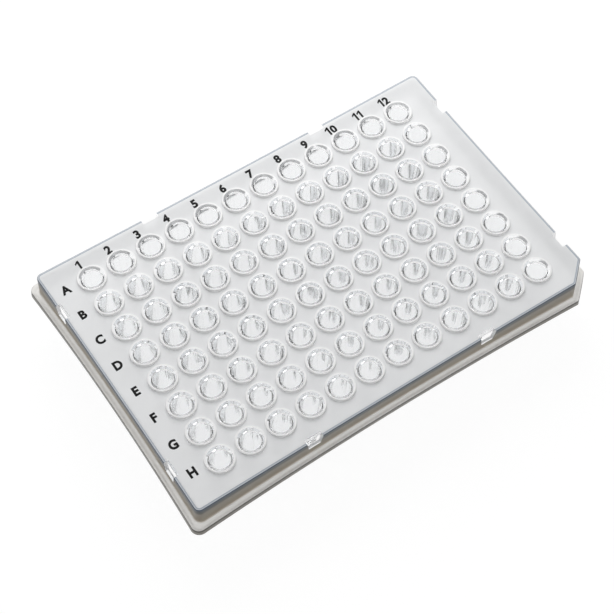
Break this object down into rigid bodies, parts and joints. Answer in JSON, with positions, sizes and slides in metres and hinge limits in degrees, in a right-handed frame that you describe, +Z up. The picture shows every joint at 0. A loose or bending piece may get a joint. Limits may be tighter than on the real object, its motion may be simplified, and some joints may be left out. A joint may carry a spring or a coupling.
{
  "type": "well plate",
  "caption": "Semi-skirted plate for small liquid samples: a grid of tapering wells with raised rims in a flat deck, a stepped side with gripper notches, and one cut corner.",
  "frame": {"origin": "middle of the footprint, on the surface that the well tips stand on", "axes": "+X along a row of wells from column 1 to column 12, +Y towards row A, +Z up out of the wells' mouths"},
  "size_m": [0.1278, 0.0854, 0.0207],
  "materials": {
    "natural_polypropylene": "natural, unfilled polypropylene: clear to milky, with a satin deck and glossy wells",
    "black_marking_ink": "thin matt black print for the row letters and column numbers"
  },
  "bodies": {
    "root": {"well_plate": "natural_polypropylene"}
  },
  "joints": []
}
